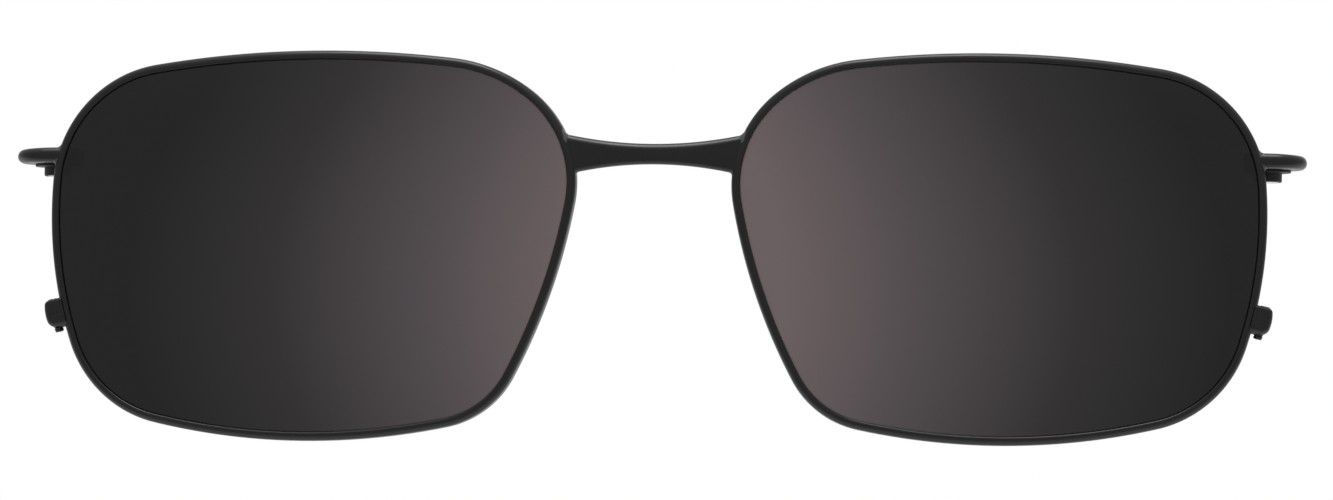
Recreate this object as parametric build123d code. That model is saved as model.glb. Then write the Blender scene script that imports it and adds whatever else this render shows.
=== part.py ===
from build123d import *
import os
from math import atan2, cos, degrees, hypot, radians, sin, sqrt

# Magnetic clip-on sunglass front, in millimetres. X runs to the right and Y away from the viewer, Z up.
# The origin is midway between the two magnet faces, where the host frame's end pieces carry the clip.
# Left and right are as seen from the front.

# Lenses, measured at the crest of their bevel
lens_width = 55.0
lens_height = 39.9
lens_thickness = 1.4
lens_bevel = 0.45
lens_spacing = 72.93
wrap_angle = 5.0
base_curve_radius = 130.0

# Lens shape: four corner circles, a shoulder beside the upper nasal one, and four long sides
upper_temple_radius = 12.5
upper_nasal_radius = 11.8
lower_nasal_radius = 9.6
lower_temple_radius = 12.2
shoulder_radius = 15.8
shoulder_angle = 128.7
temple_side_radius = 45.4
top_side_radius = 120.3
nasal_side_radius = 60.4
bottom_side_radius = 71.5
upper_temple_inset_shares = (0.0015, 0.0315)
upper_nasal_inset_shares = (0.0, 0.0384)
lower_nasal_inset_shares = (0.0958, 0.0333)
lower_temple_inset_shares = (0.0281, 0.0399)

# Rim wire
rim_depth = 1.9
rim_wall = 0.92
groove_floor = 0.55
rim_outer_fillet = 0.25
rim_inner_fillet = 0.12
lens_setback = 0.30
lens_clearance = 0.03

# Bridge
bridge_height = 2.16
bridge_thickness = 1.4
bridge_top_radius = 43.0
bridge_bottom_radius = 40.0
bridge_bow_radius = 80.0
bridge_rise = 9.73
bridge_fillet = 0.35

# End arms, round-ended tabs that lie over the host frame's end pieces, reaching out from the rim's wall
arm_reach = 4.38
arm_rise = 8.88
arm_root_height = 1.60
arm_tip_height = 1.40
arm_depth = 7.4
arm_inner_reach = 2.6
arm_front_corner = 3.2
arm_rear_corner = 3.6
arm_inner_corner = 0.9
arm_fillet = 0.3
arm_rim_gap = 0.3

# Magnets and their flanged cups
magnet_reach = 0.21
magnet_diameter = 2.5
magnet_height = 1.0
magnet_setback = 10.4
magnet_clearance = 0.03
cup_wall = 0.27
cup_flange_diameter = 5.0
cup_flange_thickness = 0.25
cup_corner = 0.15

# Closing blocks and their screws
block_angle = -13.65
block_height = 3.05
block_end_reach = 1.55
block_middle_reach = 1.82
block_depth = 2.2
block_fillet = 0.3
closing_gap = 0.12
screw_diameter = 1.0
screw_reach = 0.80
screw_head_diameter = 1.30
screw_stub = 0.40
screw_stub_chamfer = 0.12
screw_slot_width = 0.20
screw_slot_depth = 0.20
screw_hole_clearance = 0.03

# Braze fillets
braze_radius = 0.45
braze_length = 1.0

# How far a cutting shape runs past what it cuts
overrun = 8.0

# Sizes that follow from those above
rim_growth = lens_clearance + groove_floor
lens_centre_x = lens_spacing / 2
cup_diameter = magnet_diameter + 2 * (magnet_clearance + cup_wall)
lens_centre_drop = arm_rise - cup_flange_thickness - magnet_height


def corner_circle(side, end, radius, inset_shares):
    """One corner of the lens shape: its centre and its radius."""
    across = side * (lens_width / 2 - radius - inset_shares[0] * lens_width)
    up = end * (lens_height / 2 - radius - inset_shares[1] * lens_height)
    return across, up, radius


def side_circle(first, second, radius):
    """The circle of this radius that both corner circles touch from inside, on their left."""
    dx = second[0] - first[0]
    dz = second[1] - first[1]
    distance = hypot(dx, dz)
    reach_first = radius - first[2]
    reach_second = radius - second[2]
    along = (reach_first**2 - reach_second**2 + distance**2) / (2 * distance)
    beside = sqrt(reach_first**2 - along**2)
    across = first[0] + (along * dx - beside * dz) / distance
    up = first[1] + (along * dz + beside * dx) / distance
    return across, up, radius


upper_temple = corner_circle(1, 1, upper_temple_radius, upper_temple_inset_shares)
upper_nasal = corner_circle(-1, 1, upper_nasal_radius, upper_nasal_inset_shares)
lower_nasal = corner_circle(-1, -1, lower_nasal_radius, lower_nasal_inset_shares)
lower_temple = corner_circle(1, -1, lower_temple_radius, lower_temple_inset_shares)
shoulder_step = shoulder_radius - upper_nasal_radius
shoulder = (
    upper_nasal[0] - shoulder_step * cos(radians(shoulder_angle)),
    upper_nasal[1] - shoulder_step * sin(radians(shoulder_angle)),
    shoulder_radius,
)
temple_side = side_circle(lower_temple, upper_temple, temple_side_radius)
lens_circles = [
    temple_side,
    upper_temple,
    side_circle(upper_temple, shoulder, top_side_radius),
    shoulder,
    upper_nasal,
    side_circle(upper_nasal, lower_nasal, nasal_side_radius),
    lower_nasal,
    side_circle(lower_nasal, lower_temple, bottom_side_radius),
    lower_temple,
]


def normal_angle(first, second):
    """Direction from the larger circle's centre to the smaller one's, in which the two touch."""
    large, small = (first, second) if first[2] > second[2] else (second, first)
    return atan2(small[1] - large[1], small[0] - large[0])


def on_circle(circle, angle, growth):
    """Point of a circle grown by an amount, at an angle in radians."""
    radius = circle[2] + growth
    return circle[0] + radius * cos(angle), circle[1] + radius * sin(angle)


def lens_face(growth):
    """The lens shape, grown by an amount, as a flat face of tangent arcs."""
    arcs = []
    for index, circle in enumerate(lens_circles):
        start = normal_angle(lens_circles[index - 1], circle)
        end = normal_angle(circle, lens_circles[(index + 1) % len(lens_circles)])
        turn = (degrees(end - start)) % 360
        middle = start + radians(turn / 2)
        points = [on_circle(circle, angle, growth) for angle in (start, middle, end)]
        arcs.append(ThreePointArc(*points))
    return make_face(arcs)


def lens_prism(growth):
    """The lens shape as a block that runs well past both faces of the rim."""
    block = extrude(lens_face(growth), 2 * overrun)
    return Pos(0, 0, -3 / 2 * overrun) * block


def curved_layer(front, thickness):
    """A spherical layer that starts at a depth behind the rim's front, with its poles off the lens."""
    outer = Sphere(base_curve_radius - front)
    inner = Sphere(base_curve_radius - front - thickness)
    return Pos(0, 0, -base_curve_radius) * Rot(90, 0, 0) * (outer - inner)


def face_sag(across, up):
    """How far the rim's front surface lies behind its apex."""
    return base_curve_radius - sqrt(base_curve_radius**2 - across**2 - up**2)


def lens_blank(growth):
    """A lens with its bevel, or with a growth the space that its groove leaves for it."""
    front = lens_setback - growth
    thickness = lens_thickness + 2 * growth
    blank = lens_prism(growth) & curved_layer(front, thickness)
    domes = blank.faces().filter_by(GeomType.SPHERE)
    return chamfer(domes.edges(), lens_bevel)


# The frame of the right lens: local X to the temple, local Y up, local Z to the front
lens_frame = Plane(
    origin=(lens_centre_x, -magnet_setback, -lens_centre_drop),
    x_dir=(cos(radians(wrap_angle)), sin(radians(wrap_angle)), 0),
    z_dir=(sin(radians(wrap_angle)), -cos(radians(wrap_angle)), 0),
)


def in_lens_frame(across, up, back):
    """A point given in the right lens's own frame, in the frame of the part."""
    return lens_frame.from_local_coords((across, up, -back))


def rim_edge(corner, side, up):
    """Where the rim's front outer edge passes a height, on one corner's circle."""
    reach = corner[2] + rim_growth
    across = corner[0] + side * sqrt(reach**2 - (up - corner[1]) ** 2)
    return in_lens_frame(across, up, face_sag(across, up))


rim_block = lens_frame * lens_prism(rim_growth)
rim_pair = rim_block + mirror(rim_block, about=Plane.YZ)

# Closing block: its own frame stands on the rim's outer wall, local X outward, local Y up the rim
block_across, block_up = on_circle(temple_side, radians(block_angle), rim_growth)
block_frame = Plane(
    origin=(block_across, block_up, -face_sag(block_across, block_up) - rim_depth / 2),
    x_dir=(cos(radians(block_angle)), sin(radians(block_angle)), 0),
    z_dir=(0, 0, 1),
)
screw_frame = block_frame.location * Pos(screw_reach, 0, 0) * Rot(-90, 0, 0)


def screw_shape(growth):
    """The closing screw's turned form, or with a growth the hole that it turns in."""
    radius = screw_diameter / 2 + growth
    head_radius = screw_head_diameter / 2 + growth
    head_depth = head_radius - radius
    top = block_height / 2
    bottom = -top - screw_stub
    shank = Pos(0, 0, (top + bottom) / 2) * Cylinder(radius, top - bottom)
    head = Pos(0, 0, top - head_depth / 2) * Cone(radius, head_radius, head_depth)
    return shank + head


def closing_screw():
    """A countersunk slotted screw whose tip stands out of the lower half of the block."""
    shape = screw_shape(0)
    tip = shape.edges().filter_by(GeomType.CIRCLE).sort_by(Axis.Z)[0]
    shape = chamfer(tip, screw_stub_chamfer)
    slot = Box(2 * screw_head_diameter, screw_slot_width, 2 * screw_slot_depth)
    shape = shape - Pos(0, 0, block_height / 2) * slot
    return lens_frame * (screw_frame * shape)


def closing_block():
    """Both halves of the block in one piece, with the screw's hole, in the block's own frame."""
    half = block_height / 2
    outline = [
        Line((-rim_wall, half), (-rim_wall, -half)),
        Line((-rim_wall, -half), (block_end_reach, -half)),
        ThreePointArc((block_end_reach, -half), (block_middle_reach, 0), (block_end_reach, half)),
        Line((block_end_reach, half), (-rim_wall, half)),
    ]
    body = Pos(0, 0, -block_depth / 2) * extrude(make_face(outline), block_depth)
    outer_face = body.faces().sort_by(Axis.X)[-1]
    body = fillet(outer_face.edges(), block_fillet)
    return body


def beside_gap(side):
    """A box that takes in all of a block above the closing gap, or below it with side -1."""
    box = Box(2 * overrun, overrun, 2 * overrun)
    return Pos(0, side * (overrun + closing_gap) / 2, 0) * box


def block_half(side):
    """The upper half of the block, or the lower with side -1, placed against the rim's outer wall."""
    half = closing_block() & beside_gap(side)
    hole = screw_frame * screw_shape(screw_hole_clearance)
    return lens_frame * (block_frame * half - hole - lens_prism(rim_growth))


def rim():
    """The eyewire: an open loop with a groove for the lens, parted at the closing block."""
    disc = lens_prism(rim_growth) & curved_layer(0, rim_depth)
    disc = fillet(disc.faces().filter_by(GeomType.SPHERE).edges(), rim_outer_fillet)
    ring = disc - lens_prism(rim_growth - rim_wall)
    core = lens_prism(0)
    dome_edges = ring.faces().filter_by(GeomType.SPHERE).edges()
    inner_edges = dome_edges.filter_by(lambda edge: core.is_inside(edge @ 0.5))
    wire = fillet(inner_edges, rim_inner_fillet) - lens_blank(lens_clearance)
    slit = block_frame * Box(4 * rim_wall, closing_gap, 2 * overrun)
    return lens_frame * (wire - slit)


def lens():
    """A curved lens with a bevelled edge that sits in the rim's groove."""
    return lens_frame * lens_blank(0)


# Bridge: a bar that flares towards the rims, its front flush with theirs
bridge_end = rim_edge(upper_nasal, -1, bridge_rise)
bridge_reach = bridge_end.X + rim_wall
bridge_middle_up = bridge_rise - lens_centre_drop
bridge_bow = bridge_bow_radius - sqrt(bridge_bow_radius**2 - bridge_end.X**2)
bridge_front = bridge_end.Y - bridge_bow


def bridge_edge_height(radius, across):
    """Height of the bridge's edge above its middle line, at a distance from the middle of the part."""
    return bridge_height / 2 + radius - sqrt(radius**2 - across**2)


def bridge():
    """The bridge, shaped at both ends to the rims' outer walls."""
    top = bridge_edge_height(bridge_top_radius, bridge_reach)
    bottom = -bridge_edge_height(bridge_bottom_radius, bridge_reach)
    half = bridge_height / 2
    outline = [
        ThreePointArc((-bridge_reach, top), (0, half), (bridge_reach, top)),
        Line((bridge_reach, top), (bridge_reach, bottom)),
        ThreePointArc((bridge_reach, bottom), (0, -half), (-bridge_reach, bottom)),
        Line((-bridge_reach, bottom), (-bridge_reach, top)),
    ]
    sheet = extrude(Plane.XZ * make_face(outline), 2 * overrun, both=True)
    bow = Cylinder(bridge_bow_radius, 2 * overrun) - Cylinder(bridge_bow_radius - bridge_thickness, 2 * overrun)
    bar = sheet & Pos(0, bridge_front + bridge_bow_radius, 0) * bow
    bar = fillet(bar.edges().sort_by(SortBy.LENGTH)[-4:], bridge_fillet)
    return Pos(0, 0, bridge_middle_up) * bar - rim_pair


# End arm: a flat tab, its front flush with the rim's, with the magnet cup under its middle
arm_root = rim_edge(upper_temple, 1, arm_rise)
arm_front = arm_root.Y
arm_span = arm_root.X + arm_reach
magnet_x = arm_root.X + magnet_reach
arm_inner = magnet_x - arm_inner_reach
arm_width = arm_span - arm_inner
arm_under = cup_flange_thickness + magnet_height


def rounded_corner(face, across, back, radius):
    """A flat face with its vertex nearest to a place rounded."""
    corner = face.vertices().sort_by_distance((across, back, 0))[0]
    return fillet(corner, radius)


def arm_plan():
    """The tab seen from above."""
    face = Pos(arm_inner + arm_width / 2, arm_front + arm_depth / 2) * Rectangle(arm_width, arm_depth)
    back = arm_front + arm_depth
    face = rounded_corner(face, arm_span, arm_front, arm_front_corner)
    face = rounded_corner(face, arm_span, back, arm_rear_corner)
    return rounded_corner(face, arm_inner, back, arm_inner_corner)


def end_arm():
    """The right arm: a tab that thins towards its tip, cut to the rim's outer wall and clear of its back."""
    top = arm_under + arm_root_height
    tip_top = arm_under + arm_tip_height
    outline = Polyline(
        (arm_inner, arm_under),
        (arm_span, arm_under),
        (arm_span, tip_top),
        (magnet_x, top),
        (arm_inner, top),
        close=True,
    )
    side_view = extrude(Plane.XZ * make_face(outline), 3 * overrun, both=True)
    tab = extrude(arm_plan(), 3 * overrun) & side_view
    flats = tab.faces().filter_by(lambda face: abs(face.normal_at().Z) > 0.9)
    tab = fillet(flats.edges(), arm_fillet)
    rim_back = arm_root.Y + rim_depth + arm_rim_gap
    front_room = Pos(arm_span, rim_back - overrun, 0) * Box(2 * arm_span, 2 * overrun, 4 * overrun)
    return tab - (rim_block & front_room)


def magnet_cup():
    """A cup with a flange under the arm, open downward, that holds the magnet."""
    flange_top = cup_flange_thickness + magnet_height
    flange = Pos(0, 0, flange_top - cup_flange_thickness / 2) * Cylinder(cup_flange_diameter / 2, cup_flange_thickness)
    tube = Pos(0, 0, magnet_height / 2) * Cylinder(cup_diameter / 2, magnet_height)
    mouth = tube.edges().filter_by(GeomType.CIRCLE).sort_by(Axis.Z)[0]
    tube = fillet(mouth, cup_corner)
    bore = Pos(0, 0, magnet_height / 2) * Cylinder(magnet_diameter / 2 + magnet_clearance, magnet_height)
    return Pos(magnet_x, 0, 0) * (flange + tube - bore)


def magnet():
    """A disc magnet whose face is level with the mouth of its cup."""
    return Pos(magnet_x, 0, magnet_height / 2) * Cylinder(magnet_diameter / 2, magnet_height)


def braze(place, keep_clear):
    """A bead of braze in the corner between the rim and what it carries, along the depth of the rim."""
    bead = Pos(place.X, place.Y + rim_depth / 2, place.Z) * Rot(90, 0, 0) * Cylinder(braze_radius, braze_length)
    for neighbour in keep_clear:
        bead = bead - neighbour
    return bead


def bridge_braze(bar):
    """The beads above and below the bridge's right end."""
    top = bridge_rise + bridge_edge_height(bridge_top_radius, bridge_end.X)
    bottom = bridge_rise - bridge_edge_height(bridge_bottom_radius, bridge_end.X)
    places = [rim_edge(upper_nasal, -1, up) for up in (top, bottom)]
    return [braze(place, (bar, rim_block)) for place in places]


def arm_braze(tab):
    """The beads above and below the right arm's root."""
    places = [rim_edge(upper_temple, 1, up) for up in (arm_rise + arm_root_height, arm_rise)]
    return [braze(place, (tab, rim_block)) for place in places]


bridge_bar = bridge()
right_arm = end_arm()
right_parts = {
    "rim": [rim()],
    "lens": [lens()],
    "end_arm": [right_arm],
    "magnet_cup": [magnet_cup()],
    "magnet": [magnet()],
    "closing_block_upper": [block_half(1)],
    "closing_block_lower": [block_half(-1)],
    "closing_screw": [closing_screw()],
    "bridge_braze": bridge_braze(bridge_bar),
    "arm_braze": arm_braze(right_arm),
}
nodes = {"bridge": [bridge_bar]}
for name, pieces in right_parts.items():
    nodes["right_" + name] = pieces
    nodes["left_" + name] = [mirror(piece, about=Plane.YZ) for piece in pieces]

os.makedirs("parts", exist_ok=True)
for name, pieces in nodes.items():
    solids = [solid for piece in pieces for solid in piece.solids()]
    shape = solids[0] if len(solids) == 1 else Compound(children=solids)
    export_step(shape, "parts/" + name + ".step")
    print(name, len(solids), round(shape.volume, 3))
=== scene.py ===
import bpy
import numpy as np
from mathutils import Matrix


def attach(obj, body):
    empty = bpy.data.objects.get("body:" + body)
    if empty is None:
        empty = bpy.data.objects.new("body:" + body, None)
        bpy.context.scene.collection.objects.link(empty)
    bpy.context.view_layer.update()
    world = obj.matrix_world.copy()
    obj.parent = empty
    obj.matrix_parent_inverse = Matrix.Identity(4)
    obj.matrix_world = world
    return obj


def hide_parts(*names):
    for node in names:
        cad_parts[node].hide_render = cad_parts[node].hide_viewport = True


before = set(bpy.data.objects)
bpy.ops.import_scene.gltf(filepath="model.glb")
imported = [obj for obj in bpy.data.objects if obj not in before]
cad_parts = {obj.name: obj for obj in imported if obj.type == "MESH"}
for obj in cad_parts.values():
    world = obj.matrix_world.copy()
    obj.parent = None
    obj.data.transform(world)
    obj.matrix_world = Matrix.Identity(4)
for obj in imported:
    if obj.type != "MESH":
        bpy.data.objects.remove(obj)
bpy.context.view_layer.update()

# The rims are two open loops of grooved nickel silver wire, rolled to the lens shape and turned a little
# back towards the temples. Each is parted where its closing block draws it shut around the lens, and
# all of the metal is lacquered satin black after brazing.
MM = 0.001
SIDES = {"left": -1, "right": 1}
LENS_WIDTH, LENS_HEIGHT = 55.0, 39.9
CENTRE_X, CENTRE_Y, CENTRE_Z = 36.465, -10.4, -7.63
WRAP = np.radians(5.0)
BASE_CURVE = 130.0
RIM_DEPTH = 1.9
RIM_OUT, RIM_IN, RIM_FRONT = 0.575, -0.34, 0.01
GROOVE_IN = 0.03
GROOVE_MOUTH, GROOVE_RISE, GROOVE_END = 0.27, 0.45, 1.73
RIM_EDGE, LIP_EDGE, SHARP_EDGE = 0.50, 0.30, 0.02
RIM_STATIONS, ARC_STEPS = 721, 7
EDGE_ANGLE = 40.0

# The closing gap is drawn shut: what is left of it is a hairline.
GAP_ANGLE, GAP_WIDTH = np.radians(-13.65), 0.004

# Each corner's radius, and its insets from the lens's box as shares of the width and of the height.
UPPER_TEMPLE, UPPER_NASAL = (12.5, 0.0015, 0.0315), (11.8, 0.0, 0.0384)
LOWER_NASAL, LOWER_TEMPLE = (9.6, 0.0958, 0.0333), (12.2, 0.0281, 0.0399)
SHOULDER_RADIUS, SHOULDER_ANGLE = 15.8, np.radians(128.7)
TEMPLE_SIDE, TOP_SIDE, NASAL_SIDE, BOTTOM_SIDE = 45.4, 120.3, 60.4, 71.5

LACQUER_HEX, LACQUER_IOR = "#100D10", 1.5
SHEEN_FROM, SHEEN_TO = 0.30, 0.38
GRAIN_MM, GRAIN_DEPTH_MM, GRAIN_BUMP, GRAIN_DETAIL = 0.35, 0.006, 0.5, 3.0
CLOUD_MM, CLOUD_DETAIL = 6.0, 2.0
NOISE_LOW, NOISE_HIGH = 0.3, 0.7


def corner(across, up, radius, inset_across, inset_up):
    """A corner circle, inset from the lens's box by shares of its width and height: centre and radius."""
    x = across * (LENS_WIDTH / 2 - radius - inset_across * LENS_WIDTH)
    y = up * (LENS_HEIGHT / 2 - radius - inset_up * LENS_HEIGHT)
    return x, y, radius


def side_between(first, second, radius):
    """The circle that two smaller ones touch from inside: its centre is radius minus theirs from each."""
    dx, dy = second[0] - first[0], second[1] - first[1]
    gap = np.hypot(dx, dy)
    reach = radius - first[2]
    along = (reach**2 - (radius - second[2]) ** 2 + gap**2) / (2 * gap)
    beside = np.sqrt(reach**2 - along**2)
    return first[0] + (along * dx - beside * dy) / gap, first[1] + (along * dy + beside * dx) / gap, radius


upper_temple = corner(1, 1, *UPPER_TEMPLE)
upper_nasal = corner(-1, 1, *UPPER_NASAL)
lower_nasal = corner(-1, -1, *LOWER_NASAL)
lower_temple = corner(1, -1, *LOWER_TEMPLE)
shoulder_step = SHOULDER_RADIUS - upper_nasal[2]
shoulder = (
    upper_nasal[0] - shoulder_step * np.cos(SHOULDER_ANGLE),
    upper_nasal[1] - shoulder_step * np.sin(SHOULDER_ANGLE),
    SHOULDER_RADIUS,
)
circles = np.array(
    [
        side_between(lower_temple, upper_temple, TEMPLE_SIDE),
        upper_temple,
        side_between(upper_temple, shoulder, TOP_SIDE),
        shoulder,
        upper_nasal,
        side_between(upper_nasal, lower_nasal, NASAL_SIDE),
        lower_nasal,
        side_between(lower_nasal, lower_temple, BOTTOM_SIDE),
        lower_temple,
    ]
)
arc_centres, arc_radii = circles[:, :2], circles[:, 2]
to_next = np.roll(arc_centres, -1, 0) - arc_centres
to_next = to_next * np.sign(arc_radii - np.roll(arc_radii, -1))[:, None]
arc_ends = np.arctan2(to_next[:, 1], to_next[:, 0])
arc_starts = np.roll(arc_ends, 1)
arc_lengths = arc_radii * ((arc_ends - arc_starts) % (2 * np.pi))
reached = np.cumsum(arc_lengths)
gap_place = arc_radii[0] * ((GAP_ANGLE - arc_starts[0]) % (2 * np.pi))


def lens_edge(shares):
    """Points and outward normals of the lens shape, at shares of its length counted from the closing gap.

    Each arc's point is its centre plus its radius times a normal that turns evenly with length."""
    along = (gap_place + shares * reached[-1]) % reached[-1]
    arc = np.searchsorted(reached, along, side="right") % len(arc_radii)
    angle = arc_starts[arc] + (along - reached[arc] + arc_lengths[arc]) / arc_radii[arc]
    normal = np.stack([np.cos(angle), np.sin(angle)], -1)
    return arc_centres[arc] + arc_radii[arc, None] * normal, normal


def on_dome(across, up, depth):
    """How far forward a point lies on the sphere that is this deep behind the rim's front sphere."""
    return np.sqrt((BASE_CURVE - depth) ** 2 - across**2 - up**2) - BASE_CURVE


def in_part(side, across, up, forward):
    """Points of the right lens's own frame in the frame of the part, in metres, mirrored for the left."""
    x = CENTRE_X + across * np.cos(WRAP) + forward * np.sin(WRAP)
    y = CENTRE_Y + across * np.sin(WRAP) - forward * np.cos(WRAP)
    return np.stack(np.broadcast_arrays(side * x, y, CENTRE_Z + up), -1) * MM


def rounded(corners, radii, steps=ARC_STEPS):
    """A closed polygon with arcs for corners: each turns about the point one radius from both its sides."""
    points, radii = np.array(corners, float), np.array(radii, float)[:, None]
    back = np.roll(points, 1, 0) - points
    on = np.roll(points, -1, 0) - points
    back /= np.linalg.norm(back, axis=1, keepdims=True)
    on /= np.linalg.norm(on, axis=1, keepdims=True)
    half = np.arccos(np.clip((back * on).sum(1, keepdims=True), -1, 1)) / 2
    middle = back + on
    centre = points + middle / np.linalg.norm(middle, axis=1, keepdims=True) * radii / np.sin(half)
    first = points + back * radii / np.tan(half) - centre
    last = points + on * radii / np.tan(half) - centre
    turn = (np.pi - 2 * half)[:, None]
    share = np.linspace(0, 1, steps)[None, :, None]
    spread = np.sin((1 - share) * turn) * first[:, None] + np.sin(share * turn) * last[:, None]
    return (centre[:, None] + spread / np.sin(turn)).reshape(-1, 2)


def shell_faces(rows):
    """Quads between the rings of a shell and a flat face at each end, all turned outwards.

    Outwards is known from the sign of the volume: the sum of the triple products of the corners."""
    count, around = rows.shape[:2]
    row, column = np.meshgrid(np.arange(count - 1), np.arange(around), indexing="ij")
    beside = (column + 1) % around
    corners = [row * around + column, row * around + beside]
    corners += [(row + 1) * around + beside, (row + 1) * around + column]
    quads = np.stack(corners, -1).reshape(-1, 4)
    points = rows.reshape(-1, 3) - rows.reshape(-1, 3).mean(0)
    a, b, c, d = (points[quads[:, i]] for i in range(4))
    ends = [np.arange(around)[::-1], np.arange(around) + (count - 1) * around]
    if (np.cross(a, b) * c).sum() + (np.cross(a, c) * d).sum() < 0:
        quads, ends = quads[:, ::-1], [end[::-1] for end in ends]
    return quads.tolist() + [end.tolist() for end in ends]


def skin(name, shells, material, sharp=EDGE_ANGLE):
    """One piece of closed shells, each an array of rings of points, smooth but for its sharp edges."""
    faces, count = [], 0
    for rows in shells:
        faces += [[index + count for index in face] for face in shell_faces(rows)]
        count += rows.shape[0] * rows.shape[1]
    mesh = bpy.data.meshes.new(name)
    mesh.from_pydata(np.concatenate([rows.reshape(-1, 3) for rows in shells]).tolist(), [], faces)
    mesh.shade_smooth()
    mesh.set_sharp_from_angle(angle=np.radians(sharp))
    mesh.materials.append(material)
    piece = bpy.data.objects.new(name, mesh)
    bpy.context.scene.collection.objects.link(piece)
    piece.modifiers.new("even_shading", "WEIGHTED_NORMAL").keep_sharp = True
    return piece


def linear(code):
    """An sRGB hex colour as linear red, green, blue and an alpha of 1."""
    value = np.array([int(code[i : i + 2], 16) for i in (1, 3, 5)]) / 255
    spread = np.where(value <= 0.04045, value / 12.92, ((value + 0.055) / 1.055) ** 2.4)
    return (*spread.tolist(), 1.0)


def add_node(tree, kind, inputs=None, **settings):
    """Adds a node with its settings. An input given a socket is linked to it, and any other is set."""
    node = tree.nodes.new(kind)
    for key, value in settings.items():
        setattr(node, key, value)
    for key, value in (inputs or {}).items():
        if isinstance(value, bpy.types.NodeSocket):
            tree.links.new(value, node.inputs[key])
        else:
            node.inputs[key].default_value = value
    return node


def new_material(name):
    """An empty node material and its tree."""
    material = bpy.data.materials.new(name)
    material.use_nodes = True
    material.node_tree.nodes.clear()
    return material, material.node_tree


def sprayed(name, code, sheen_from, sheen_to):
    """Black lacquer over a metal: a colour, and a roughness that drifts between two values."""
    material, tree = new_material(name)
    place = add_node(tree, "ShaderNodeTexCoord").outputs["Object"]
    grain = add_node(
        tree, "ShaderNodeTexNoise", {"Vector": place, "Scale": 1 / (GRAIN_MM * MM), "Detail": GRAIN_DETAIL}
    ).outputs["Fac"]
    cloud = add_node(
        tree, "ShaderNodeTexNoise", {"Vector": place, "Scale": 1 / (CLOUD_MM * MM), "Detail": CLOUD_DETAIL}
    ).outputs["Fac"]
    sheen = add_node(
        tree,
        "ShaderNodeMapRange",
        {
            "Value": cloud,
            "From Min": NOISE_LOW,
            "From Max": NOISE_HIGH,
            "To Min": sheen_from,
            "To Max": sheen_to,
        },
    ).outputs["Result"]
    bump = add_node(
        tree, "ShaderNodeBump", {"Height": grain, "Strength": GRAIN_BUMP, "Distance": GRAIN_DEPTH_MM * MM}
    ).outputs["Normal"]
    surface = add_node(
        tree,
        "ShaderNodeBsdfPrincipled",
        {"Base Color": linear(code), "Roughness": sheen, "IOR": LACQUER_IOR, "Normal": bump},
    ).outputs["BSDF"]
    add_node(tree, "ShaderNodeOutputMaterial", {"Surface": surface})
    return material


# Satin black lacquer, sprayed over the metal and stoved. It gives a near-black surface with a soft, broad
# sheen that is bright only where it turns edge-on to the light, and a very fine grain from the spray.
lacquer = sprayed("satin_black_lacquer_on_nickel_silver", LACQUER_HEX, SHEEN_FROM, SHEEN_TO)

rim_section = rounded(
    [
        (RIM_OUT, RIM_FRONT),
        (RIM_OUT, RIM_DEPTH),
        (RIM_IN, RIM_DEPTH),
        (RIM_IN, GROOVE_END - GROOVE_RISE + GROOVE_IN - RIM_IN),
        (GROOVE_IN, GROOVE_END - GROOVE_RISE),
        (GROOVE_IN, GROOVE_MOUTH + GROOVE_RISE),
        (RIM_IN, GROOVE_MOUTH + GROOVE_RISE - GROOVE_IN + RIM_IN),
        (RIM_IN, RIM_FRONT),
    ],
    [RIM_EDGE, RIM_EDGE, LIP_EDGE, SHARP_EDGE, SHARP_EDGE, SHARP_EDGE, SHARP_EDGE, LIP_EDGE],
)
gap_share = GAP_WIDTH / 2 / reached[-1]
rim_line, rim_normal = lens_edge(np.linspace(gap_share, 1 - gap_share, RIM_STATIONS))
rim_plan = rim_line[:, None] + rim_normal[:, None] * rim_section[None, :, :1]
rim_forward = on_dome(rim_plan[..., 0], rim_plan[..., 1], rim_section[None, :, 1])
for word, side in SIDES.items():
    rim_rings = in_part(side, rim_plan[..., 0], rim_plan[..., 1], rim_forward)
    rim = skin(word + "_rim_wire", [rim_rings], lacquer)
    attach(rim, "front")
    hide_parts(word + "_rim")


# The lenses are dark grey sunglass lenses 1.4 mm thick, a polarising film between two tinted layers, cast
# to the base curve and edged to the rim's shape with a bevel that sits in its groove. Over their dark tint,
# painted shade makes them near black at the temples, and painted light lets more of the white behind them
# through beside the nose.
LENS_FRONT, LENS_BACK = 0.31, 1.70
LENS_BEVEL = 0.40
BEVEL_EDGE, BEVEL_STEPS = 0.015, 3
LENS_AROUND, LENS_RINGS = 480, 26
LENS_POLE_SHARE = 0.01
LENS_ROUGHNESS, LENS_IOR = 0.02, 1.5
# The lens colours carry painted shade: lightest beside the nose and darkest towards the temples.
TINT_AND_PAINTED_SHADE_HEXES = ("#665A5C", "#484245", "#262324", "#0A0A0D")
PAINTED_SHADE_MIDDLE_X, PAINTED_SHADE_FROM, PAINTED_SHADE_TO = 2.2, 11.8, 57.8
PAINTED_SHADE_CLEAREST_Z, PAINTED_SHADE_BEND_MM = -12.0, 55.0

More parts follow.
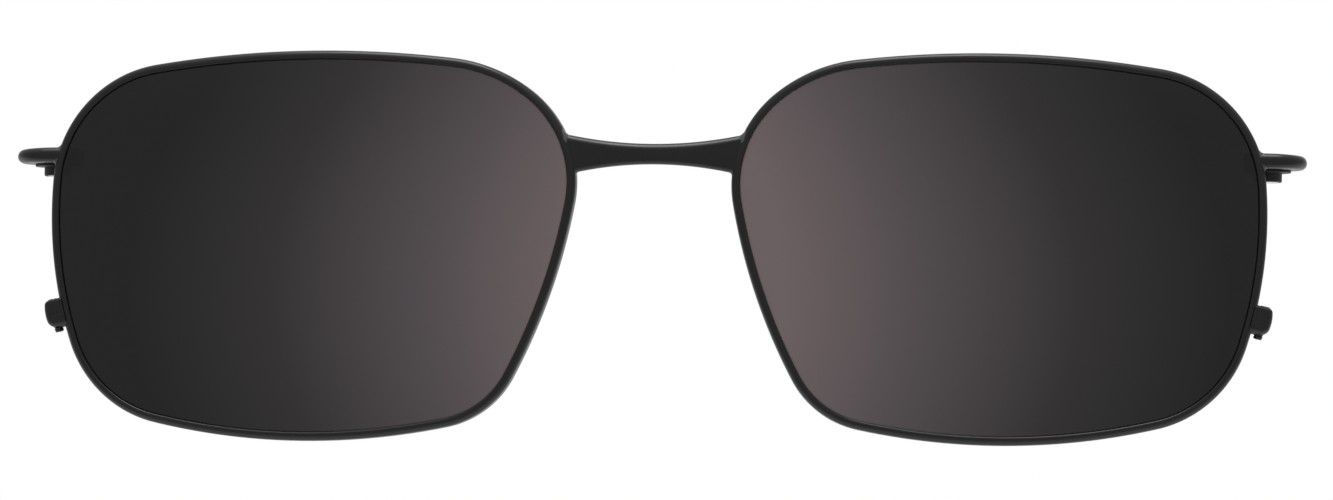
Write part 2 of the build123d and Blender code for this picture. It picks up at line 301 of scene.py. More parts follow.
# A dark dyed polymer, cast and polished on both faces: clear, smooth and glossy. Its colours are what the
# whole thickness lets through, with painted shade laid over the dye. They darken with distance from the
# nose, along shallow curves that open towards it; this is painted light and shade, not a graded dye. The
# distance is that from the middle line, set a little right of centre so that the left lens is painted
# darker, plus the squared height above the clearest line over a bend length.
tinted, tree = new_material("dark_grey_polarised_lens_polished_with_painted_shade")
place = add_node(tree, "ShaderNodeTexCoord").outputs["Object"]
axes = add_node(tree, "ShaderNodeSeparateXYZ", {"Vector": place})
across = add_node(
    tree, "ShaderNodeMath", {0: axes.outputs["X"], 1: PAINTED_SHADE_MIDDLE_X * MM}, operation="SUBTRACT"
).outputs["Value"]
outward = add_node(tree, "ShaderNodeMath", {0: across}, operation="ABSOLUTE").outputs["Value"]
height = add_node(
    tree, "ShaderNodeMath", {0: axes.outputs["Z"], 1: PAINTED_SHADE_CLEAREST_Z * MM}, operation="SUBTRACT"
).outputs["Value"]
squared = add_node(tree, "ShaderNodeMath", {0: height, 1: height}, operation="MULTIPLY").outputs["Value"]
distance = add_node(
    tree, "ShaderNodeMath", {0: squared, 1: 1 / (PAINTED_SHADE_BEND_MM * MM), 2: outward}, operation="MULTIPLY_ADD"
).outputs["Value"]
share = add_node(
    tree,
    "ShaderNodeMapRange",
    {"Value": distance, "From Min": PAINTED_SHADE_FROM * MM, "From Max": PAINTED_SHADE_TO * MM},
).outputs["Result"]
ramp = add_node(tree, "ShaderNodeValToRGB", {"Fac": share})
ramp.color_ramp.elements[0].color = linear(TINT_AND_PAINTED_SHADE_HEXES[0])
ramp.color_ramp.elements[1].color = linear(TINT_AND_PAINTED_SHADE_HEXES[3])
ramp.color_ramp.elements.new(1 / 3).color = linear(TINT_AND_PAINTED_SHADE_HEXES[1])
ramp.color_ramp.elements.new(2 / 3).color = linear(TINT_AND_PAINTED_SHADE_HEXES[2])
surface = add_node(
    tree,
    "ShaderNodeBsdfPrincipled",
    {
        "Base Color": ramp.outputs["Color"],
        "Roughness": LENS_ROUGHNESS,
        "IOR": LENS_IOR,
        "Transmission Weight": 1.0,
    },
).outputs["BSDF"]
add_node(tree, "ShaderNodeOutputMaterial", {"Surface": surface})

lens_line, lens_normal = lens_edge(np.arange(LENS_AROUND) / LENS_AROUND)
bevel = rounded(
    [
        (-LENS_BEVEL, LENS_FRONT),
        (0, LENS_FRONT + LENS_BEVEL),
        (0, LENS_BACK - LENS_BEVEL),
        (-LENS_BEVEL, LENS_BACK),
    ],
    [BEVEL_EDGE] * 4,
    steps=BEVEL_STEPS,
)
face_line = lens_line - lens_normal * (LENS_BEVEL + 2 * BEVEL_EDGE)
face_plan = face_line[None] * np.linspace(LENS_POLE_SHARE, 1, LENS_RINGS)[:, None, None]
bevel_plan = lens_line[None] + lens_normal[None] * bevel[:, None, :1]
lens_plan = np.concatenate([face_plan, bevel_plan, face_plan[::-1]])
lens_depth = np.concatenate([np.full(LENS_RINGS, LENS_FRONT), bevel[:, 1], np.full(LENS_RINGS, LENS_BACK)])
lens_forward = on_dome(lens_plan[..., 0], lens_plan[..., 1], lens_depth[:, None])
for word, side in SIDES.items():
    lens_rings = in_part(side, lens_plan[..., 0], lens_plan[..., 1], lens_forward)
    lens = skin(word + "_tinted_lens", [lens_rings], tinted)
    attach(lens, "front")
    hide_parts(word + "_lens")


# The bridge is a flat bar bent to a shallow bow, with a lightly crowned front and rounded edges. It is
# filed to flare at both ends, where it is brazed to the rims' outer walls with its front level with theirs.
BRIDGE_MIDDLE_Z = 2.10
BRIDGE_FRONT_Y = -9.934
BRIDGE_HEIGHT, BRIDGE_THICKNESS = 2.16, 1.4
BRIDGE_TOP_RADIUS, BRIDGE_BOTTOM_RADIUS, BRIDGE_BOW_RADIUS = 43.0, 40.0, 80.0
BRIDGE_TOP_EDGE, BRIDGE_BOTTOM_EDGE, BRIDGE_CROWN = 0.66, 0.60, 0.10
BRIDGE_STATIONS, BRIDGE_FIT_ROUNDS = 61, 4
BRIDGE_REACH = 8.6
WALL_OVERLAP = 0.30


def flare(radius, x):
    """How far an edge rises from its height in the middle: an arc of this radius."""
    return radius - np.sqrt(radius**2 - x**2)


def rim_wall_x(circle, direction, z, y, growth):
    """Where the right rim's outer wall stands at a height and depth: a corner circle, grown a little."""
    up = z - CENTRE_Z - circle[1]
    across = circle[0] + direction * np.sqrt((circle[2] + growth) ** 2 - up**2)
    forward = (CENTRE_Y + across * np.sin(WRAP) - y) / np.cos(WRAP)
    return CENTRE_X + across * np.cos(WRAP) + forward * np.sin(WRAP)


def bridge_top(x):
    """Height of the bridge's top edge: half its height above its middle line, and flared."""
    return BRIDGE_MIDDLE_Z + BRIDGE_HEIGHT / 2 + flare(BRIDGE_TOP_RADIUS, x)


def bridge_bottom(x):
    """Height of the bridge's bottom edge: half its height below its middle line, and flared."""
    return BRIDGE_MIDDLE_Z - BRIDGE_HEIGHT / 2 - flare(BRIDGE_BOTTOM_RADIUS, x)


def bridge_section(x):
    """Heights and depths of the bridge's section, each point's own distance from the middle given.

    The front is crowned: it falls back with the square of the height, as a share of half the bridge's."""
    rise, back = bridge_ring[:, 0], bridge_ring[:, 1]
    edge = np.where(rise > 0, bridge_top(x) - BRIDGE_HEIGHT / 2, bridge_bottom(x) + BRIDGE_HEIGHT / 2)
    bow = flare(BRIDGE_BOW_RADIUS - BRIDGE_THICKNESS, x) - flare(BRIDGE_BOW_RADIUS, x)
    depth = BRIDGE_FRONT_Y + flare(BRIDGE_BOW_RADIUS, x) + back * (1 + bow / BRIDGE_THICKNESS)
    crown = BRIDGE_CROWN * (rise / BRIDGE_HEIGHT * 2) ** 2 * (1 - back / BRIDGE_THICKNESS)
    return edge + rise, depth + crown


half = BRIDGE_HEIGHT / 2
bridge_ring = rounded(
    [(half, 0), (half, BRIDGE_THICKNESS), (-half, BRIDGE_THICKNESS), (-half, 0)],
    [BRIDGE_TOP_EDGE, BRIDGE_TOP_EDGE, BRIDGE_BOTTOM_EDGE, BRIDGE_BOTTOM_EDGE],
)
bridge_end = np.full(len(bridge_ring), BRIDGE_REACH)
for _ in range(BRIDGE_FIT_ROUNDS):
    end_z, end_y = bridge_section(bridge_end)
    bridge_end = rim_wall_x(upper_nasal, -1, end_z, end_y, RIM_OUT - WALL_OVERLAP)
bridge_x = np.linspace(-1, 1, BRIDGE_STATIONS)[:, None] * bridge_end
bridge_z, bridge_y = bridge_section(bridge_x)
bridge = skin("flared_bridge", [np.stack([bridge_x, bridge_y, bridge_z], -1) * MM], lacquer)
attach(bridge, "front")
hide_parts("bridge")


# The end arms are round-ended tabs, cut and coined from flat strip with rolled edges. Each is brazed to its
# rim's outer wall, and lies level over the end piece of the glasses that wear the clip.
ARM_INNER, ARM_TIP, ARM_FRONT, ARM_BACK = 61.40, 68.17, -4.696, 2.703
ARM_BEHIND_RIM, ARM_ROOT = -2.496, 61.78
ARM_UNDER, ARM_TOP, ARM_TIP_DROP, ARM_BEND = 1.25, 2.85, 0.20, 64.0
ARM_FRONT_CORNER, ARM_REAR_CORNER, ARM_INNER_CORNER, ARM_NOTCH_CORNER = 3.2, 3.6, 0.9, 0.25
ARM_EDGE, ARM_INNER_EDGE = 0.68, 0.15
ARM_MIDDLE = np.array([65.2, -0.6])
ARM_CAP_SHARES = (0.02, 0.5, 0.92)
CORNER_STEPS, EDGE_STEPS = 13, 9


def outward_normals(plan):
    """Outward normals of a closed plan: its tangents, from each point's neighbours, turned a quarter."""
    along = np.roll(plan, -1, 0) - np.roll(plan, 1, 0)
    turned = np.stack([along[:, 1], -along[:, 0]], -1)
    area = (plan[:, 0] * np.roll(plan[:, 1], -1) - np.roll(plan[:, 0], -1) * plan[:, 1]).sum()
    return turned / np.linalg.norm(turned, axis=1, keepdims=True) * np.sign(area)


def slab_half(plan, inward, middle, edge, cap_shares):
    """Rings over one face of a slab: plan points of each, and how far each lies in from the face.

    The cap's rings shrink towards its middle. The rolled edge is a quarter circle of each point's own
    radius, and draws the point in along its own direction from the wall."""
    quarter = np.linspace(0, np.pi / 2, EDGE_STEPS)[:, None]
    rolled = plan + inward * (edge * (1 - np.sin(quarter)))[..., None]
    cap = middle + (rolled[0] - middle) * np.array(cap_shares)[:, None, None]
    from_face = np.concatenate([np.zeros((len(cap_shares), len(plan))), edge * (1 - np.cos(quarter))])
    return np.concatenate([cap, rolled]), from_face


arm_plan = rounded(
    [
        (ARM_ROOT, ARM_FRONT),
        (ARM_TIP, ARM_FRONT),
        (ARM_TIP, ARM_BACK),
        (ARM_INNER, ARM_BACK),
        (ARM_INNER, ARM_BEHIND_RIM),
        (ARM_ROOT, ARM_BEHIND_RIM),
    ],
    [SHARP_EDGE, ARM_FRONT_CORNER, ARM_REAR_CORNER, ARM_INNER_CORNER, ARM_NOTCH_CORNER, SHARP_EDGE],
    steps=CORNER_STEPS,
)
at_root = np.repeat([True, False, False, False, False, True], CORNER_STEPS)
arm_inward = -outward_normals(arm_plan)
arm_inward[at_root] = 0, 1
arm_edges = np.concatenate(
    [
        np.full(3 * CORNER_STEPS, ARM_EDGE),
        np.linspace(ARM_EDGE, ARM_INNER_EDGE, CORNER_STEPS),
        np.full(2 * CORNER_STEPS, ARM_INNER_EDGE),
    ]
)
arm_half, arm_in = slab_half(arm_plan, arm_inward, ARM_MIDDLE, arm_edges, ARM_CAP_SHARES)
slope = np.clip((arm_half[..., 0] - ARM_BEND) / (ARM_TIP - ARM_BEND), 0, 1)
arm_lower, arm_upper = ARM_UNDER + arm_in, ARM_TOP - ARM_TIP_DROP * slope - arm_in
arm_z = np.concatenate([arm_lower, arm_upper[::-1]])
arm_x, arm_y = np.moveaxis(np.concatenate([arm_half, arm_half[::-1]]), -1, 0)
root_x = rim_wall_x(upper_temple, 1, arm_z, arm_y, RIM_OUT - WALL_OVERLAP)
cap_share = np.concatenate([ARM_CAP_SHARES, np.ones(EDGE_STEPS)])
cap_share = np.concatenate([cap_share, cap_share[::-1]])[:, None]
arm_x = np.where(at_root, ARM_MIDDLE[0] + (root_x - ARM_MIDDLE[0]) * cap_share, arm_x)
for word, side in SIDES.items():
    arm = skin(word + "_arm_tab", [np.stack([side * arm_x, arm_y, arm_z], -1) * MM], lacquer)
    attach(arm, "front")
    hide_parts(word + "_end_arm")


# The magnet cups are turned from brass with a thin flange, blackened, and riveted up against the arms. Each
# holds one disc magnet, its face level with the cup's mouth, that lands on the glasses' end piece.
MAGNET_X = 64.0
CUP_HEIGHT, FLANGE_TOP = 1.0, 1.25
FLANGE_RADIUS, CUP_RADIUS, BORE_RADIUS, MAGNET_RADIUS = 2.5, 1.55, 1.28, 1.25
CUP_EDGE, FLANGE_EDGE, MAGNET_EDGE, AXIS_RADIUS, AXIS_EDGE = 0.15, 0.05, 0.10, 0.02, 0.001
TURN_STEPS = 96
BLACKENED_HEX, BLACKENED_ROUGHNESS, BLACKENED_IOR = "#121213", 0.55, 1.5
BLAST_MM, BLAST_DEPTH_MM, BLAST_BUMP, BLAST_DETAIL = 0.15, 0.01, 0.6, 3.0
NICKEL_HEX, NICKEL_FROM, NICKEL_TO = "#C9C4BA", 0.16, 0.26
RIPPLE_MM, RIPPLE_DEPTH_MM, RIPPLE_BUMP, RIPPLE_DETAIL = 0.4, 0.008, 0.4, 2.0

# Brass with a matt black chemical finish, dipped after turning: an even black with no gloss to speak of.
blackened, tree = new_material("matt_black_chemical_finish_on_brass")
place = add_node(tree, "ShaderNodeTexCoord").outputs["Object"]
grain = add_node(
    tree, "ShaderNodeTexNoise", {"Vector": place, "Scale": 1 / (BLAST_MM * MM), "Detail": BLAST_DETAIL}
).outputs["Fac"]
bump = add_node(
    tree, "ShaderNodeBump", {"Height": grain, "Strength": BLAST_BUMP, "Distance": BLAST_DEPTH_MM * MM}
).outputs["Normal"]
surface = add_node(
    tree,
    "ShaderNodeBsdfPrincipled",
    {
        "Base Color": linear(BLACKENED_HEX),
        "Roughness": BLACKENED_ROUGHNESS,
        "IOR": BLACKENED_IOR,
        "Normal": bump,
    },
).outputs["BSDF"]
add_node(tree, "ShaderNodeOutputMaterial", {"Surface": surface})

# Nickel plating over a sintered magnet, barrel polished: bright and mirror-like, with the faint ripple of
# the grains beneath the plating.
nickel, tree = new_material("bright_nickel_plate_on_magnet")
place = add_node(tree, "ShaderNodeTexCoord").outputs["Object"]
ripple = add_node(
    tree, "ShaderNodeTexNoise", {"Vector": place, "Scale": 1 / (RIPPLE_MM * MM), "Detail": RIPPLE_DETAIL}
).outputs["Fac"]
sheen = add_node(
    tree,
    "ShaderNodeMapRange",
    {
        "Value": ripple,
        "From Min": NOISE_LOW,
        "From Max": NOISE_HIGH,
        "To Min": NICKEL_FROM,
        "To Max": NICKEL_TO,
    },
).outputs["Result"]
bump = add_node(
    tree, "ShaderNodeBump", {"Height": ripple, "Strength": RIPPLE_BUMP, "Distance": RIPPLE_DEPTH_MM * MM}
).outputs["Normal"]
surface = add_node(
    tree,
    "ShaderNodeBsdfPrincipled",
    {"Base Color": linear(NICKEL_HEX), "Roughness": sheen, "Metallic": 1.0, "Normal": bump},
).outputs["BSDF"]
add_node(tree, "ShaderNodeOutputMaterial", {"Surface": surface})


def turned(middle_x, profile, radii):
    """Rings of a turned shape: a profile of distances from an upright axis and heights, turned round it."""
    line = rounded(profile, radii)
    angle = np.linspace(0, 2 * np.pi, TURN_STEPS, endpoint=False)
    x = middle_x + line[:, :1] * np.cos(angle)
    return np.stack(np.broadcast_arrays(x, line[:, :1] * np.sin(angle), line[:, 1:]), -1) * MM


for word, side in SIDES.items():
    cup_rings = turned(
        side * MAGNET_X,
        [
            (AXIS_RADIUS, FLANGE_TOP),
            (FLANGE_RADIUS, FLANGE_TOP),
            (FLANGE_RADIUS, CUP_HEIGHT),
            (CUP_RADIUS, CUP_HEIGHT),
            (CUP_RADIUS, 0),
            (BORE_RADIUS, 0),
            (BORE_RADIUS, CUP_HEIGHT),
            (AXIS_RADIUS, CUP_HEIGHT),
        ],
        [AXIS_EDGE, FLANGE_EDGE, FLANGE_EDGE, FLANGE_EDGE, CUP_EDGE, SHARP_EDGE, SHARP_EDGE, AXIS_EDGE],
    )
    cup = skin(word + "_flanged_cup", [cup_rings], blackened)
    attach(cup, "front")
    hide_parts(word + "_magnet_cup")
    magnet_rings = turned(
        side * MAGNET_X,
        [(AXIS_RADIUS, CUP_HEIGHT), (MAGNET_RADIUS, CUP_HEIGHT), (MAGNET_RADIUS, 0), (AXIS_RADIUS, 0)],
        [AXIS_EDGE, MAGNET_EDGE, MAGNET_EDGE, AXIS_EDGE],
    )
    magnet = skin(word + "_disc_magnet", [magnet_rings], nickel)
    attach(magnet, "front")
    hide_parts(word + "_magnet")


# The closing blocks are small swaged halves, brazed to the two ends of each rim and bowed on their outer
# side. The screw draws them together, so that only a hairline shows between them.
BLOCK_HALF_HEIGHT, BLOCK_END_REACH, BLOCK_MIDDLE_REACH, BLOCK_DEPTH = 1.525, 1.55, 1.82, 2.2
BLOCK_OVERLAP, BLOCK_FACE_EDGE, BLOCK_ROOT_EDGE, BLOCK_GAP_EDGE = 0.30, 0.62, 0.10, 0.04
BLOCK_UPPER_CORNER, BLOCK_LOWER_CORNER = 0.38, 0.85
BLOCK_ROWS = 7

gap_line, gap_normal = lens_edge(np.zeros(1))
block_root = gap_line[0] + gap_normal[0] * RIM_OUT
up_rim = np.array([-gap_normal[0, 1], gap_normal[0, 0]])
block_mid_forward = on_dome(block_root[0], block_root[1], 0) - RIM_DEPTH / 2


def beside_rim(side, out, along, toward):
    """Points given from the block's root: out from the rim's wall, along the rim and towards the front."""
    plan = block_root + out[..., None] * gap_normal[0] + along[..., None] * up_rim
    return in_part(side, plan[..., 0], plan[..., 1], block_mid_forward + toward)


block_ring = rounded(
    [
        (0, -BLOCK_DEPTH / 2),
        (BLOCK_END_REACH + BLOCK_OVERLAP, -BLOCK_DEPTH / 2),
        (BLOCK_END_REACH + BLOCK_OVERLAP, BLOCK_DEPTH / 2),
        (0, BLOCK_DEPTH / 2),
    ],
    [BLOCK_ROOT_EDGE, BLOCK_FACE_EDGE, BLOCK_FACE_EDGE, BLOCK_ROOT_EDGE],
    steps=CORNER_STEPS,
)
quarter = np.linspace(0, np.pi / 2, CORNER_STEPS)
for level, turn, end_corner in (("upper", 1, BLOCK_UPPER_CORNER), ("lower", -1, BLOCK_LOWER_CORNER)):
    # Each row of the half is its middle section, drawn in by a quarter circle at the gap and the far end.
    gap_rows = GAP_WIDTH / 2 + BLOCK_GAP_EDGE * (1 - np.cos(quarter))
    end_rows = BLOCK_HALF_HEIGHT - end_corner * (1 - np.sin(quarter))
    middle_rows = np.linspace(gap_rows[-1], end_rows[0], BLOCK_ROWS)[1:-1]
    along = np.concatenate([gap_rows, middle_rows, end_rows])[:, None]
    drawn = np.zeros_like(along)
    drawn[:CORNER_STEPS, 0] = BLOCK_GAP_EDGE * (1 - np.sin(quarter))
    drawn[-CORNER_STEPS:, 0] = end_corner * (1 - np.cos(quarter))
    out = block_ring[:, 0] * (1 - drawn / (BLOCK_END_REACH + BLOCK_OVERLAP))
    toward = block_ring[:, 1] * (1 - np.minimum(drawn, BLOCK_FACE_EDGE) / (BLOCK_DEPTH / 2))
    bulge = (BLOCK_MIDDLE_REACH - BLOCK_END_REACH) * (1 - (along / BLOCK_HALF_HEIGHT) ** 2)
    out = out - BLOCK_OVERLAP + bulge * out / (BLOCK_END_REACH + BLOCK_OVERLAP)
    for word, side in SIDES.items():
        block_rings = beside_rim(side, out, turn * along + 0 * out, toward)
        block = skin(word + "_closing_block_" + level + "_half", [block_rings], lacquer)
        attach(block, "front")
        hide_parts(word + "_closing_block_" + level)


# The closing screws are slotted screws of blackened steel that draw the blocks' halves together. Their
# heads stand a little proud of the upper halves, and their threaded tips stand out below the lower ones.
SCREW_REACH, SCREW_RADIUS, SCREW_TIP, SCREW_CHAMFER = 0.80, 0.50, -1.925, 0.12
THREAD_PITCH, THREAD_DEPTH, THREAD_ROWS = 0.25, 0.07, 10
HEAD_RADIUS, HEAD_FOOT, SLOT_FLOOR, HEAD_TOP, HEAD_EDGE = 0.50, 1.20, 1.54, 1.605, 0.035
SLOT_WIDTH, SLOT_TURN = 0.20, np.radians(25.0)
LAND_STEPS, SCREW_EDGE_ANGLE = 33, 50.0
STEEL_HEX, STEEL_ROUGHNESS = "#3A3A3D", 0.38
TURNED_MM, TURNED_DEPTH_MM, TURNED_BUMP, TURNED_DETAIL = 0.1, 0.006, 0.4, 2.0

# Steel, turned and then blackened in hot oxide: a dark metal with a dull shine and fine tool marks.
steel, tree = new_material("blackened_steel_turned")
place = add_node(tree, "ShaderNodeTexCoord").outputs["Object"]
grain = add_node(
    tree, "ShaderNodeTexNoise", {"Vector": place, "Scale": 1 / (TURNED_MM * MM), "Detail": TURNED_DETAIL}
).outputs["Fac"]
bump = add_node(
    tree, "ShaderNodeBump", {"Height": grain, "Strength": TURNED_BUMP, "Distance": TURNED_DEPTH_MM * MM}
).outputs["Normal"]
surface = add_node(
    tree,
    "ShaderNodeBsdfPrincipled",
    {"Base Color": linear(STEEL_HEX), "Roughness": STEEL_ROUGHNESS, "Metallic": 1.0, "Normal": bump},
).outputs["BSDF"]
add_node(tree, "ShaderNodeOutputMaterial", {"Surface": surface})


def land(way):
    """One side of the slotted head, as plan points: an arc from one end of the slot's wall to the other."""
    reach = np.arccos(SLOT_WIDTH / 2 / HEAD_RADIUS)
    angle = np.linspace(-reach, reach, LAND_STEPS)
    across, beside = way * HEAD_RADIUS * np.cos(angle), HEAD_RADIUS * np.sin(angle)
    turn = np.array([[np.cos(SLOT_TURN), np.sin(SLOT_TURN)], [-np.sin(SLOT_TURN), np.cos(SLOT_TURN)]])
    return np.stack([across, beside], -1) @ turn


head_along = np.array([HEAD_FOOT, HEAD_TOP - HEAD_EDGE, HEAD_TOP - HEAD_EDGE / 4, HEAD_TOP])[:, None]
head_drawn = np.array([0, 0, HEAD_EDGE / 4, HEAD_EDGE])[:, None, None]
angle = np.linspace(0, 2 * np.pi, TURN_STEPS, endpoint=False)[None]
thread_along = np.arange(SCREW_TIP, SLOT_FLOOR, THREAD_PITCH / THREAD_ROWS)[:, None]
for word, side in SIDES.items():
    # A right-hand thread: the radius falls by a wave of the height over the pitch, plus the turn.
    wave = 0.5 + 0.5 * np.cos(2 * np.pi * thread_along / THREAD_PITCH + side * angle)
    radius = SCREW_RADIUS - THREAD_DEPTH * wave
    radius = np.minimum(radius, SCREW_RADIUS - SCREW_CHAMFER + thread_along - SCREW_TIP)
    out, toward = SCREW_REACH + radius * np.cos(angle), radius * np.sin(angle)
    screw_shells = [beside_rim(side, out, thread_along + 0 * angle, toward)]
    for way in (-1, 1):
        plan = land(way) * (1 - head_drawn / HEAD_RADIUS)
        screw_shells.append(
            beside_rim(side, SCREW_REACH + plan[..., 0], head_along + 0 * plan[..., 0], plan[..., 1])
        )
    screw = skin(word + "_slotted_screw", screw_shells, steel, SCREW_EDGE_ANGLE)
    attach(screw, word + "_screw")
    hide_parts(word + "_closing_screw")


# The braze is silver solder that ran into the corners between the rims and what they carry. Each bead is a
# small hollow fillet that fades out towards the front and the back of the rim.
ABOVE_BRIDGE, BELOW_BRIDGE, BESIDE_ARM = (0.66, 0.52), (0.45, 0.42), (0.62, 0.55)
BEAD_SINK, BEAD_TUCK = 0.16, 0.03
BEAD_FRONT_IN, BEAD_BACK_IN = 0.05, 0.20
BEAD_STEPS, BEAD_ROWS, BEAD_FIT_ROUNDS = 20, 61, 6
BEAD_END_SHARE, BEAD_EDGE_ANGLE = 0.0004, 60.0
# The solder's colour is a painted highlight: a grey lighter than the black lacquer.
SOLDER_PAINTED_HIGHLIGHT_HEX, SOLDER_FROM, SOLDER_TO = "#525052", 0.18, 0.24

# The same lacquer over the smooth solder, glossier than on the wire. Its colour is painted a lighter grey
# than the lacquer as a painted highlight, so that each bead shows a small bright spot in the light from
# above.
solder_lacquer_with_painted_highlight = sprayed("black_lacquer_on_solder_with_painted_highlight", SOLDER_PAINTED_HIGHLIGHT_HEX, SOLDER_FROM, SOLDER_TO)


def rolled_in(inside, across, edge):
    """How far rolled edges draw a face in, at a distance inside a slab this wide: two quarter circles."""
    from_side = np.clip(np.minimum(inside, across - inside), 0, edge)
    return edge - np.sqrt(edge**2 - (edge - from_side) ** 2)


def bead_rings(circle, direction, edge_height, reaches, wall_way, along_way, front, across):
    """Rings of one bead, from its front to its back: a curve that leaves the rim's wall and the piece's
    edge along their own directions (a quadratic curve with the corner as its middle point), closed inside.

    The rings lie closer together towards the ends, where each shrinks to its corner as a bead does."""
    share = -np.cos(np.linspace(0, np.pi, BEAD_ROWS))[:, None]
    first, last = BEAD_FRONT_IN, across - BEAD_BACK_IN
    inside = (first + last) / 2 + share * (last - first) / 2
    y = front + inside
    growth = RIM_OUT - rolled_in(inside, RIM_DEPTH, RIM_EDGE)
    x = np.full_like(y, CENTRE_X + circle[0] + direction * circle[2])
    for _ in range(BEAD_FIT_ROUNDS):
        z = edge_height(x, inside)
        x = rim_wall_x(circle, direction, z, y, growth)
    size_share = np.sqrt(np.clip(1 - share**4, BEAD_END_SHARE, 1))
    wall_reach, edge_reach = (reach * size_share for reach in reaches)
    step = np.linspace(0, 1, BEAD_STEPS)[None]
    wall_z = z + wall_way * wall_reach
    wall_x = rim_wall_x(circle, direction, wall_z, y, growth - BEAD_TUCK)
    edge_x = x + along_way * edge_reach
    edge_z = edge_height(edge_x, inside) - wall_way * BEAD_TUCK
    curve_x = (1 - step) ** 2 * wall_x + 2 * step * (1 - step) * x + step**2 * edge_x
    curve_z = (1 - step) ** 2 * wall_z + 2 * step * (1 - step) * z + step**2 * edge_z
    sunk_x = x - along_way * BEAD_SINK
    sunk_z = z - wall_way * BEAD_SINK
    ring_x = np.concatenate([curve_x, edge_x, sunk_x, wall_x - along_way * BEAD_SINK], 1)
    ring_z = np.concatenate([curve_z, edge_z - wall_way * BEAD_SINK, sunk_z, wall_z], 1)
    return np.stack(np.broadcast_arrays(ring_x, y, ring_z), -1) * MM


def bridge_top_inside(x, inside):
    """Height of the bridge's top edge, at a distance behind its front, less what the crown takes."""
    behind = inside - BRIDGE_CROWN * (1 - inside / BRIDGE_THICKNESS)
    return bridge_top(x) - rolled_in(behind, BRIDGE_THICKNESS, BRIDGE_TOP_EDGE)


def bridge_bottom_inside(x, inside):
    """Height of the bridge's bottom edge, at a distance behind its front, less what the crown takes."""
    behind = inside - BRIDGE_CROWN * (1 - inside / BRIDGE_THICKNESS)
    return bridge_bottom(x) + rolled_in(behind, BRIDGE_THICKNESS, BRIDGE_BOTTOM_EDGE)


def arm_top_inside(x, inside):
    """Height of the arm's top face near its root, at a distance behind its front."""
    return ARM_TOP - rolled_in(inside, ARM_BACK - ARM_FRONT, ARM_EDGE) + 0 * x


def arm_under_inside(x, inside):
    """Height of the arm's lower face near its root, at a distance behind its front."""
    return ARM_UNDER + rolled_in(inside, ARM_BACK - ARM_FRONT, ARM_EDGE) + 0 * x


bridge_front = BRIDGE_FRONT_Y + flare(BRIDGE_BOW_RADIUS, BRIDGE_REACH)
beads = {
    "bridge_braze": [
        (upper_nasal, -1, bridge_top_inside, ABOVE_BRIDGE, 1, -1, bridge_front, BRIDGE_THICKNESS),
        (upper_nasal, -1, bridge_bottom_inside, BELOW_BRIDGE, -1, -1, bridge_front, BRIDGE_THICKNESS),
    ],
    "arm_braze": [
        (upper_temple, 1, arm_top_inside, BESIDE_ARM, 1, 1, ARM_FRONT, RIM_DEPTH),
        (upper_temple, 1, arm_under_inside, BESIDE_ARM, -1, 1, ARM_FRONT, RIM_DEPTH),
    ],
}
for node, places in beads.items():
    shells = [bead_rings(*bead) for bead in places]
    for word, side in SIDES.items():
        on_side = [rows * (side, 1, 1) for rows in shells]
        braze = skin(word + "_" + node + "_fillets", on_side, solder_lacquer_with_painted_highlight, BEAD_EDGE_ANGLE)
        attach(braze, "front")
        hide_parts(word + "_" + node)


# The floor is a round sheet of matt white paper under the object. It ends just in front of it, so that it
# stays below the picture and its front edge isn't mirrored in the rims.
FLOOR_Z, FLOOR_RADIUS, FLOOR_MIDDLE_Y = -0.045, 0.6, 0.57
FLOOR_STEPS = 96
PAPER_HEX, PAPER_ROUGHNESS = "#FAFAFA", 0.9

# Uncoated white paper: matt, even and near white.
paper, tree = new_material("matt_white_paper")
surface = add_node(
    tree, "ShaderNodeBsdfPrincipled", {"Base Color": linear(PAPER_HEX), "Roughness": PAPER_ROUGHNESS}
).outputs["BSDF"]
add_node(tree, "ShaderNodeOutputMaterial", {"Surface": surface})
angle = np.linspace(0, 2 * np.pi, FLOOR_STEPS, endpoint=False)
floor_x, floor_y = FLOOR_RADIUS * np.cos(angle), FLOOR_MIDDLE_Y + FLOOR_RADIUS * np.sin(angle)
floor_points = np.stack([floor_x, floor_y, np.full(FLOOR_STEPS, FLOOR_Z)], -1)
floor_mesh = bpy.data.meshes.new("floor")
floor_mesh.from_pydata(floor_points.tolist(), [], [list(range(FLOOR_STEPS))])
floor_mesh.materials.append(paper)
floor = bpy.data.objects.new("floor", floor_mesh)
bpy.context.scene.collection.objects.link(floor)

# The room is a white tent, brightest behind the object, a little less bright above it and dimmer in front.
# The camera, and what passes through the lenses, sees it as plain white.
FRONT_LEVEL, BEHIND_LEVEL, ABOVE_LEVEL = 0.42, 1.0, 0.75
BEHIND_FROM, BEHIND_TO = 0.60, 1.0
ABOVE_FROM, ABOVE_TO = 0.27, 0.85
ROOM_HEX = "#FFFFFF"
world = bpy.data.worlds.new("white_tent")
bpy.context.scene.world = world
world.use_nodes = True
tree = world.node_tree
tree.nodes.clear()
direction = add_node(tree, "ShaderNodeTexCoord").outputs["Generated"]
axes = add_node(tree, "ShaderNodeSeparateXYZ", {"Vector": direction})
behind = add_node(
    tree,
    "ShaderNodeMapRange",
    {
        "Value": axes.outputs["Y"],
        "From Min": BEHIND_FROM,
        "From Max": BEHIND_TO,
        "To Min": FRONT_LEVEL,
        "To Max": BEHIND_LEVEL,
    },
).outputs["Result"]
above = add_node(
    tree,
    "ShaderNodeMapRange",
    {
        "Value": axes.outputs["Z"],
        "From Min": ABOVE_FROM,
        "From Max": ABOVE_TO,
        "To Min": FRONT_LEVEL,
        "To Max": ABOVE_LEVEL,
    },
).outputs["Result"]
level = add_node(tree, "ShaderNodeMath", {0: behind, 1: above}, operation="MAXIMUM").outputs["Value"]
path = add_node(tree, "ShaderNodeLightPath")
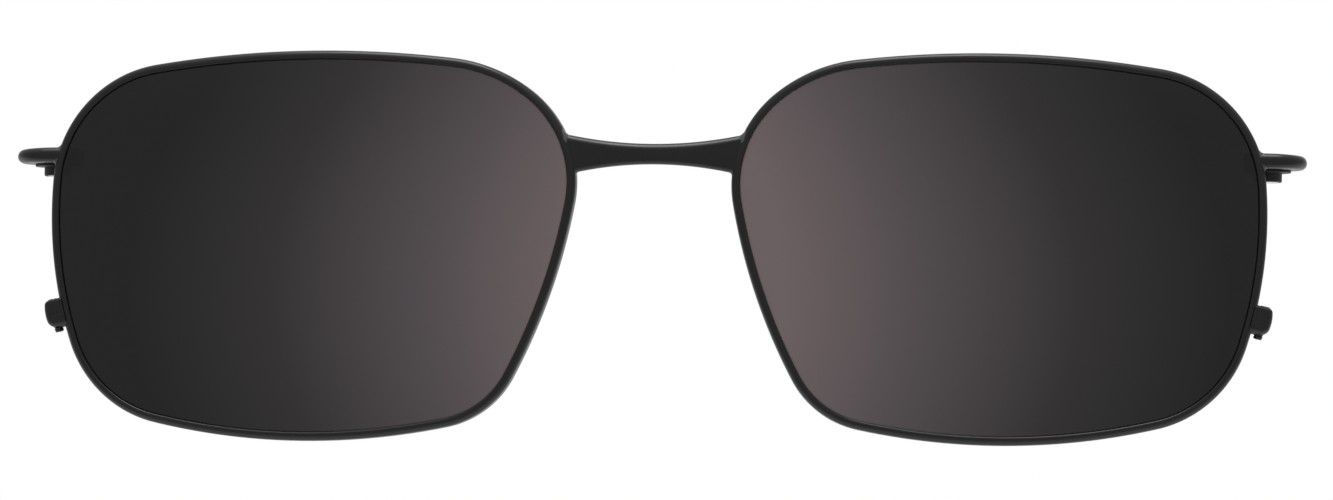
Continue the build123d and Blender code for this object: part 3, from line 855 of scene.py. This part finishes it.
seen = add_node(
    tree,
    "ShaderNodeMath",
    {0: path.outputs["Is Camera Ray"], 1: path.outputs["Is Transmission Ray"]},
    operation="MAXIMUM",
).outputs["Value"]
strength = add_node(tree, "ShaderNodeMix", {"Factor": seen, "A": level, "B": 1.0}).outputs["Result"]
background = add_node(tree, "ShaderNodeBackground", {"Color": linear(ROOM_HEX), "Strength": strength})
add_node(tree, "ShaderNodeOutputWorld", {"Surface": background.outputs["Background"]})


def aimed(facing, up, spot):
    """The placing of a lamp or camera: its own Z points backwards, and its Y as near up as can be."""
    back = -np.array(facing, float) / np.linalg.norm(facing)
    right = np.cross(up, back)
    right /= np.linalg.norm(right)
    turned_axes = Matrix(np.stack([right, np.cross(back, right), back], 1).tolist()).to_4x4()
    return Matrix.Translation(np.array(spot).tolist()) @ turned_axes


# One large softbox hangs over the object, a little ahead of it, and draws the bright lines on the metal's
# upper edges.
SOFTBOX_SPOT, SOFTBOX_WIDTH, SOFTBOX_POWER = (0.0, -0.10, 0.68), 0.35, 2.5
lamp = bpy.data.lights.new("top_softbox", "AREA")
lamp.size = SOFTBOX_WIDTH
lamp.energy = SOFTBOX_POWER
softbox = bpy.data.objects.new("top_softbox", lamp)
bpy.context.scene.collection.objects.link(softbox)
softbox.matrix_world = aimed(-np.array(SOFTBOX_SPOT), (0, 1, 0), SOFTBOX_SPOT)

# The camera stands a metre off and looks slightly up, with the object turned a little to one side, as
# the photograph's perspective shows.
YAW, PITCH, ROLL = np.radians([-4.33667, -3.0, 0.55796])
CAMERA_OFFSET = np.array([-1.5133, 1000.0, 0.3840])
FOCUS_POINT = np.array([0, 10.4, 7.63])
PIXELS_PER_MM, FRAME_PIXELS, SENSOR, NEAREST = 9.5676, 1333, 36.0, 0.01


def turn_about(axis, angle):
    """A turn by an angle about one axis, as a matrix that carries the object's axes to the camera's."""
    first, second = [index for index in range(3) if index != axis]
    turn = np.eye(3)
    turn[first, first] = turn[second, second] = np.cos(angle)
    turn[first, second], turn[second, first] = -np.sin(angle), np.sin(angle)
    return turn


view_axes = turn_about(1, -ROLL) @ turn_about(0, PITCH) @ turn_about(2, YAW)
camera_data = bpy.data.cameras.new("camera")
camera_data.sensor_width = SENSOR
camera_data.lens = SENSOR * PIXELS_PER_MM * CAMERA_OFFSET[1] / FRAME_PIXELS
camera_data.clip_start = NEAREST
camera = bpy.data.objects.new("camera", camera_data)
bpy.context.scene.collection.objects.link(camera)
camera.matrix_world = aimed(view_axes[1], view_axes[2], (-view_axes.T @ CAMERA_OFFSET - FOCUS_POINT) * MM)
bpy.context.scene.camera = camera

bpy.context.scene.view_settings.view_transform = "Standard"
